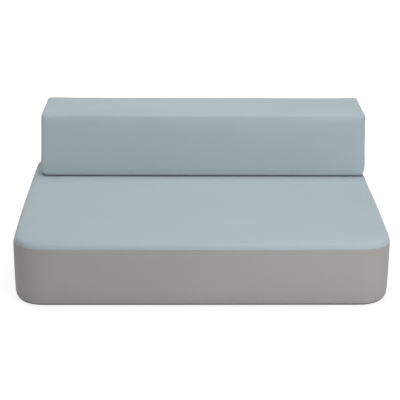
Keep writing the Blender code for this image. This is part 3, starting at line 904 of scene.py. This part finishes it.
class SOFA_OT_hinge(bpy.types.Operator):
    """Makes the strip of fabric that joins the blocks at the rear, with its rows of stitches"""

    bl_idname = "sofa_bed.hinge"
    bl_label = "Fabric hinge"
    corner_round = 0.012
    mesh_step, row_step, fold_step = 0.02, 0.009, 0.0012
    fold_half = 0.009  # the cloth is cut finely this far from the fold
    blend_half = 0.006  # and start and end lie this far from it
    hem, hem_slope, hem_proud = 0.015, 0.002, 0.0006
    slack, ripple = 0.0006, 0.0004  # how far the cloth stands off at the fold, and by how much that varies
    slack_reach = 0.012
    ripple_waves = (23.0, 7.3)  # radians along each metre
    row_places = (0.005, 0.012)  # from the hem's edge
    row_end = 0.010  # from the strip's ends

    def execute(self, context):
        low, high = LEAF_LOW, LEAF_HIGH
        thickness = LEAF_FOLD.y - LEAF_LOW.y
        flap = object_of("fabric_hinge", self.cut_strip(low, high))
        self.hang(flap, low, high, thickness)
        wall = flap.modifiers.new("cloth", "SOLIDIFY")
        wall.thickness = thickness
        wall.offset = -1
        settled(flap)
        flap.data.materials.append(seat_fabric())
        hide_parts("hinge_leaf_base", "hinge_leaf_back")
        start, end = (0, low.y, HINGE.z - self.blend_half), (0, low.y, HINGE.z + self.blend_half)
        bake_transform(flap)
        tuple(start)
        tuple(end)
        pitch = context.scene.sofa_zips.stitch_pitch
        face = low.y + thickness + STITCH_OUT
        for name, heights, body in (
            ("hinge_stitches_base", [low.z + place for place in self.row_places], "base"),
            ("hinge_stitches_back", [high.z - place for place in self.row_places], "backrest"),
        ):
            rows = stitch_rows(name, low.x + self.row_end, high.x - self.row_end, face, heights, pitch)
            rows.data.materials.append(seat_thread())
            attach(rows, body)
        return {"FINISHED"}

    def cut_strip(self, low, high):
        """The flat strip with round corners, cut finely at the fold."""
        bm = bmesh.new()
        bmesh.ops.create_grid(bm, x_segments=1, y_segments=1, size=0.5)
        bmesh.ops.rotate(bm, matrix=Matrix.Rotation(math.pi / 2, 3, "X"), verts=bm.verts)
        bmesh.ops.scale(bm, vec=(high.x - low.x, 1, high.z - low.z), verts=bm.verts)
        bmesh.ops.translate(bm, vec=((low.x + high.x) / 2, low.y, (low.z + high.z) / 2), verts=bm.verts)
        bmesh.ops.bevel(
            bm, geom=bm.verts[:], offset=self.corner_round, segments=5, profile=0.5, affect="VERTICES", material=-1
        )
        slice_at(bm, 0, even_lines(low.x, high.x, self.mesh_step)[1:-1])
        below, above = HINGE.z - self.fold_half, HINGE.z + self.fold_half
        slice_at(bm, 2, even_lines(low.z, below, self.row_step)[1:] + even_lines(above, high.z, self.row_step)[:-1])
        slice_at(bm, 2, even_lines(below, above, self.fold_step)[1:-1])
        bm.normal_update()
        if sum(f.normal.y for f in bm.faces) < 0:
            bmesh.ops.reverse_faces(bm, faces=bm.faces[:])
        return bm

    def hang(self, flap, low, high, thickness):
        """Gives the strip its weave, its hems and the slack at its fold."""
        co = places_of(flap.data)
        uv = flap.data.uv_layers.new(name="weave")
        for loop in flap.data.loops:
            uv.data[loop.index].uv = (co[loop.vertex_index, 0], co[loop.vertex_index, 2])
        full = self.hem + self.hem_slope
        upper = lap(co[:, 2], high.z - full, high.z - self.hem)
        hem = np.maximum(upper, 1 - lap(co[:, 2], low.z + self.hem, low.z + full))
        short, long = self.ripple_waves
        wave = np.sin(co[:, 0] * short) * np.sin(co[:, 0] * long + 1.0)
        near_fold = np.exp(-(((co[:, 2] - HINGE.z) / self.slack_reach) ** 2))
        co[:, 1] += thickness + self.hem_proud * hem + near_fold * (self.slack + self.ripple * wave)
        put_places(flap.data, co)


class SOFA_OT_grips(bpy.types.Operator):
    """Makes the strips of hook and loop tape between the blocks"""

    bl_idname = "sofa_bed.grips"
    bl_label = "Grip tapes"
    corner_round = 0.004
    mesh_along, mesh_across = 0.0028, 0.0024
    edge, edge_drop = 0.0025, 0.0004  # the pressed edge's width and how far it lies below the pile
    pile_depth = 0.00012
    pile_waves = (2171.0, 911.0, 2617.0, 613.0)  # radians in each metre of two slanting waves

    def execute(self, context):
        loops = grip_pile("loop_pile", (0.035, 0.045, 0.050), 900)
        hooks = grip_pile("hook_pile", (0.030, 0.038, 0.042), 650)
        for number in (1, 2, 3):
            self.strip(f"seat_loop_strip_{number}", f"seat_loop_tape_{number}", 1, loops, "base")
            self.strip(f"back_hook_strip_{number}", f"back_hook_tape_{number}", -1, hooks, "backrest")
        return {"FINISHED"}

    def strip(self, node, name, face, material, body):
        low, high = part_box(node)
        bm = box_mesh(low, high)
        upright = [e for e in bm.edges if abs(e.verts[0].co.z - e.verts[1].co.z) > TINY]
        round_edges(bm, upright, self.corner_round, 4)
        slice_at(bm, 0, even_lines(low.x, high.x, self.mesh_along)[1:-1])
        slice_at(bm, 1, even_lines(low.y, high.y, self.mesh_across)[1:-1])
        pile = high.z if face > 0 else low.z
        a, b, c, d = self.pile_waves
        for vert in bm.verts:
            x, y = vert.co.x, vert.co.y
            inner = min(x - low.x, high.x - x, y - low.y, high.y - y) > self.edge
            if abs(vert.co.z - pile) < TINY:
                bumps = math.sin(x * a + y * b) * math.sin(y * c - x * d)
                vert.co.z -= face * (self.pile_depth * (1 + bumps) if inner else self.edge_drop)
        strip = object_of(name, bm)
        strip.data.materials.append(material)
        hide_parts(node)
        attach(strip, body)


class SOFA_OT_zips(bpy.types.Operator):
    """Makes the coils, sliders, pull tabs and stitches of the two zips"""

    bl_idname = "sofa_bed.zips"
    bl_label = "Zips"

    # Teeth, as shares of the pitch along the chain and as sizes across it
    tooth_start, tooth_share = 0.06, 0.40
    tooth_over, tooth_out = 0.0010, 0.0030  # past the chain's middle and away from it
    tooth_inset, tooth_round = 0.0001, 0.0004

    # Slider: a plate over the chain, a wall on each side of it and a bail for the tab
    plate_clear, plate_thick = 0.0004, 0.0010
    plate_corner, plate_rim = 0.0026, 0.0003
    wall_thick, wall_inset, wall_round = 0.0012, 0.0022, 0.0003
    bail_half, bail_wire, bail_sunk = 0.0035, 0.00045, 0.0004
    slider_crease = 40  # degrees past which two faces meet in a sharp edge

    # Pull tab
    root_share, tip_share = 0.72, 0.98
    root_round, rim_width, face_sunk = 0.0006, 0.0006, 0.00015
    hole_from, hole_to, hole_half, hole_round = 0.0048, 0.0008, 0.0009, 0.0004
    overrun = 0.001
    pull_crease = 35

    stitch_beside, stitch_proud = 0.0028, 0.0001

    def execute(self, context):
        zips = context.scene.sofa_zips
        coil = moulded_coil((0.20, 0.215, 0.225))
        metal = brushed_metal(tuple(zips.metal_colour))
        tape = tape_cloth("zip_tape_twill", (0.26, 0.27, 0.28))
        base_thread = sewing_thread("thread_warm_grey", (0.29, 0.28, 0.275))
        for prefix, body, thread, fabric in (
            ("base", "base", base_thread, "warm_grey_fabric"),
            ("back", "backrest", seat_thread(), "blue_grey_fabric"),
        ):
            self.chain(prefix, body, coil, zips)
            self.slider(prefix, metal)
            self.pull(prefix, metal)
            self.stitches(prefix, body, thread, fabric, zips)
            for end in ("upper", "lower"):
                self.carry_over(f"{prefix}_zip_tape_{end}", tape, "zip_tape")
            for end in ("left", "right"):
                self.carry_over(f"{prefix}_zip_stop_{end}", metal, "zip_metal")
        return {"FINISHED"}

    @staticmethod
    def carry_over(node, material, slot):
        """A CAD node that stays as it is, with a new finish."""
        kept = frame["nodes"][node]
        kept.data.materials.clear()
        kept.data.materials.append(material)

    def chain(self, prefix, body, coil, zips):
        node = f"{prefix}_zip_chain"
        low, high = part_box(node)
        z = (low.z + high.z) / 2
        pitch = zips.tooth_pitch
        count = int((high.x - low.x) / pitch)
        spare = (high.x - low.x - count * pitch) / 2
        unit = bmesh.new()
        for side, start in ((1, 0.0), (-1, pitch / 2)):
            x = low.x + spare + start + pitch * self.tooth_start
            ends = sorted((z - side * self.tooth_over, z + side * self.tooth_out))
            tooth_low = (x, low.y + self.tooth_inset, ends[0])
            tooth_high = (x + pitch * self.tooth_share, high.y - self.tooth_inset, ends[1])
            add_rounded_box(unit, tooth_low, tooth_high, self.tooth_round, 1)
        teeth = repeated(f"{prefix}_zip_coil", unit, (pitch, 0, 0), count)
        teeth.data.materials.append(coil)
        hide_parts(node)
        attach(teeth, body)

    def slider(self, prefix, metal):
        node = f"{prefix}_zip_slider"
        low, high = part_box(node)
        x, z = (low.x + high.x) / 2, (low.z + high.z) / 2
        plate_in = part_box(f"{prefix}_zip_chain")[1].y + self.plate_clear
        plate_out = plate_in + self.plate_thick
        bm = box_mesh((low.x, plate_in, low.z), (high.x, plate_out, high.z))
        corners = [e for e in bm.edges if abs(e.verts[0].co.y - e.verts[1].co.y) > TINY]
        round_edges(bm, corners, self.plate_corner, 4)
        rims = [e for e in bm.edges if all(abs(v.co.y - plate_out) < TINY for v in e.verts)]
        round_edges(bm, rims, self.plate_rim, 2)
        for side, outer in ((-1, low.z), (1, high.z)):
            ends = sorted((outer, outer - side * self.wall_thick))
            wall_low = (low.x + self.wall_inset, low.y, ends[0])
            wall_high = (high.x - self.wall_inset, plate_in + self.wall_round, ends[1])
            add_rounded_box(bm, wall_low, wall_high, self.wall_round)
        self.bend_bail(bm, Vector((x, plate_out - self.bail_sunk, z)), high.y)
        bmesh.ops.recalc_face_normals(bm, faces=bm.faces)
        made = object_of(f"{prefix}_slider_body", bm)
        made.data.materials.append(metal)
        made.data.set_sharp_from_angle(angle=math.radians(self.slider_crease))
        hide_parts(node)
        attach(made, f"{prefix}_slider")

    def bend_bail(self, bm, foot, crest):
        """Bends a wire over half a turn, then stretches it so that its top reaches the crest."""
        before = set(bm.verts)
        ring = bmesh.ops.create_circle(bm, segments=10, radius=self.bail_wire)["verts"]
        bmesh.ops.rotate(bm, matrix=Matrix.Rotation(math.pi / 2, 3, "X"), verts=ring)
        bmesh.ops.translate(bm, vec=foot - Vector((self.bail_half, 0, 0)), verts=ring)
        wire = ring + [e for e in bm.edges if e.is_wire]
        bmesh.ops.spin(bm, geom=wire, cent=foot, axis=(0, 0, -1), angle=math.pi, steps=12, use_merge=False)
        bail = [v for v in bm.verts if v not in before]
        stretch = (crest - foot.y) / (max(v.co.y for v in bail) - foot.y)
        for vert in bail:
            vert.co.y = foot.y + (vert.co.y - foot.y) * stretch

    def pull(self, prefix, metal):
        node = f"{prefix}_zip_pull"
        low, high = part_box(node)
        middle, half = (low + high) / 2, (high.z - low.z) / 2
        bm = box_mesh(low, high)
        corners = [e for e in bm.edges if abs(e.verts[0].co.y - e.verts[1].co.y) > TINY]
        tip = [e for e in corners if e.verts[0].co.x < middle.x]
        root = [e for e in corners if e not in tip]
        for vert in bm.verts:
            if vert.co.x > middle.x:
                vert.co.z = middle.z + math.copysign(half * self.root_share, vert.co.z - middle.z)
        round_edges(bm, tip, half * self.tip_share, 6)
        round_edges(bm, [e for e in root if e.is_valid], self.root_round, 2)
        bm.normal_update()
        faces = [f for f in bm.faces if abs(f.normal.y) > 0.9]
        bmesh.ops.inset_individual(bm, faces=faces, thickness=self.rim_width, depth=0.0)
        bm.normal_update()
        inner = sorted((f for f in bm.faces if abs(f.normal.y) > 0.9), key=lambda f: -f.calc_area())[:2]
        for face in inner:
            sunk = bmesh.ops.extrude_face_region(bm, geom=[face])
            bmesh.ops.translate(bm, vec=-face.normal * self.face_sunk, verts=points_in(sunk))
            bmesh.ops.delete(bm, geom=[face], context="FACES_ONLY")
        bmesh.ops.recalc_face_normals(bm, faces=bm.faces)
        tab = object_of(f"{prefix}_pull_tab", bm)
        hole_bm = bmesh.new()
        hole_low = (high.x - self.hole_from, low.y - self.overrun, middle.z - self.hole_half)
        hole_high = (high.x - self.hole_to, high.y + self.overrun, middle.z + self.hole_half)
        add_rounded_box(hole_bm, hole_low, hole_high, self.hole_round)
        hole = object_of(f"{prefix}_tab_hole", hole_bm)
        cut = tab.modifiers.new("hole", "BOOLEAN")
        cut.operation = "DIFFERENCE"
        cut.solver = "EXACT"
        cut.object = hole
        settled(tab)
        bpy.data.objects.remove(hole, do_unlink=True)
        tab.data.materials.clear()
        tab.data.materials.append(metal)
        tab.data.set_sharp_from_angle(angle=math.radians(self.pull_crease))
        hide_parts(node)
        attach(tab, f"{prefix}_tab")

    def stitches(self, prefix, body, thread, slot, zips):
        low_x, high_x, z, half, _ = zip_slot(prefix)
        beside = half + self.stitch_beside
        heights = (z - beside, z + beside)
        name = f"{prefix}_zip_stitches"
        rows = stitch_rows(name, low_x, high_x, REAR + self.stitch_proud, heights, zips.stitch_pitch)
        rows.data.materials.append(thread)
        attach(rows, body)


class SOFA_OT_stage(bpy.types.Operator):
    """Makes the floor, the lights and the camera"""

    bl_idname = "sofa_bed.stage"
    bl_label = "Studio"
    floor_drop = 0.0005
    eye = Vector((-0.1286, -6.301, 2.633))
    pitch, yaw, roll = 0.3518, -0.0201, 0.0081  # the camera's angles in radians
    sensor, far_clip = 36.0, 100.0

    def execute(self, context):
        stage = context.scene.sofa_stage
        scene = context.scene
        scene.view_settings.view_transform = "Standard"
        bm = bmesh.new()
        bmesh.ops.create_grid(bm, x_segments=1, y_segments=1, size=stage.floor_half)
        bmesh.ops.translate(bm, vec=(0, 0, -self.floor_drop), verts=bm.verts)
        floor = object_of("studio_floor", bm)
        floor.data.materials.append(studio_floor())
        self.light_room(scene, stage)
        self.place_camera(scene, stage)
        return {"FINISHED"}

    @staticmethod
    def light_room(scene, stage):
        world = bpy.data.worlds.new("studio")
        scene.world = world
        world.use_nodes = True
        nodes = Nodes(world.node_tree)
        nodes.tree.nodes.clear()
        white = (1, 1, 1, 1)
        room = nodes.add("ShaderNodeBackground", {"Color": white, "Strength": stage.surround})[0]
        shown = nodes.add("ShaderNodeBackground", {"Color": white})[0]
        nodes.seen_apart(room, shown, "ShaderNodeOutputWorld")
        # each lamp's place, the point that it shines on, the side of its square and its power
        for name, place, aim, size, watts in (
            ("top_lamp", (0.0, 0.0, 4.5), (0.0, 0.0, 0.3), 4.0, stage.top_power),
            ("key_lamp", (2.2, -3.8, 2.0), (0.0, -0.3, 0.3), 2.0, stage.key_power),
            ("side_lamp", (-4.2, -0.6, 1.2), (0.0, 0.0, 0.3), 2.5, stage.side_power),
            ("front_lamp", (-0.8, -4.8, 0.7), (0.0, -0.5, 0.3), 1.2, stage.front_power),
            ("rear_lamp", (-0.8, 5.0, 0.8), (0.0, 0.7, 0.35), 1.6, stage.rear_power),
        ):
            data = bpy.data.lights.new(name, "AREA")
            data.energy = watts
            data.size = size
            lamp = bpy.data.objects.new(name, data)
            lamp.location = place
            lamp.rotation_mode = "QUATERNION"
            lamp.rotation_quaternion = (Vector(aim) - Vector(place)).to_track_quat("-Z", "Y")
            scene.collection.objects.link(lamp)

    def place_camera(self, scene, stage):
        pitch, yaw, roll = self.pitch, self.yaw, self.roll
        right = Vector((math.cos(yaw), math.sin(yaw), 0.0))
        ahead = Vector((-math.sin(yaw) * math.cos(pitch), math.cos(yaw) * math.cos(pitch), -math.sin(pitch)))
        up = right.cross(ahead)
        tilted_right = right * math.cos(roll) + up * math.sin(roll)
        tilted_up = up * math.cos(roll) - right * math.sin(roll)
        turned = Matrix((tilted_right, tilted_up, -ahead)).transposed().to_4x4()
        turned.translation = self.eye
        data = bpy.data.cameras.new("camera")
        data.sensor_width = self.sensor
        data.lens = stage.lens
        data.clip_end = self.far_clip
        camera = bpy.data.objects.new("camera", data)
        scene.collection.objects.link(camera)
        camera.matrix_world = turned
        scene.camera = camera


class SOFA_PT_panel(bpy.types.Panel):
    """Lists the pieces of the sofa bed and their settings"""

    bl_idname = "SOFA_PT_panel"
    bl_label = "Sofa Bed"
    bl_space_type = "VIEW_3D"
    bl_region_type = "UI"
    bl_category = "Sofa Bed"

    def draw(self, context):
        scene = context.scene
        for group in (scene.sofa_covers, scene.sofa_zips, scene.sofa_stage):
            box = self.layout.box()
            for key in group.__annotations__:
                box.prop(group, key)
        for kind in BUILDERS:
            self.layout.operator(kind.bl_idname)


GROUPS = (("sofa_covers", SofaCovers), ("sofa_zips", SofaZips), ("sofa_stage", SofaStage))
BUILDERS = (SOFA_OT_base, SOFA_OT_back, SOFA_OT_hinge, SOFA_OT_grips, SOFA_OT_zips, SOFA_OT_stage)


def register():
    for name, kind in GROUPS:
        bpy.utils.register_class(kind)
        setattr(bpy.types.Scene, name, PointerProperty(type=kind))
    for kind in (*BUILDERS, SOFA_PT_panel):
        bpy.utils.register_class(kind)


def unregister():
    for kind in (SOFA_PT_panel, *reversed(BUILDERS)):
        bpy.utils.unregister_class(kind)
    for name, kind in reversed(GROUPS):
        delattr(bpy.types.Scene, name)
        bpy.utils.unregister_class(kind)


def main():
    register()
    bpy.ops.sofa_bed.base()
    bpy.ops.sofa_bed.back()
    bpy.ops.sofa_bed.hinge()
    bpy.ops.sofa_bed.grips()
    bpy.ops.sofa_bed.zips()
    bpy.ops.sofa_bed.stage()


if __name__ == "__main__":
    main()
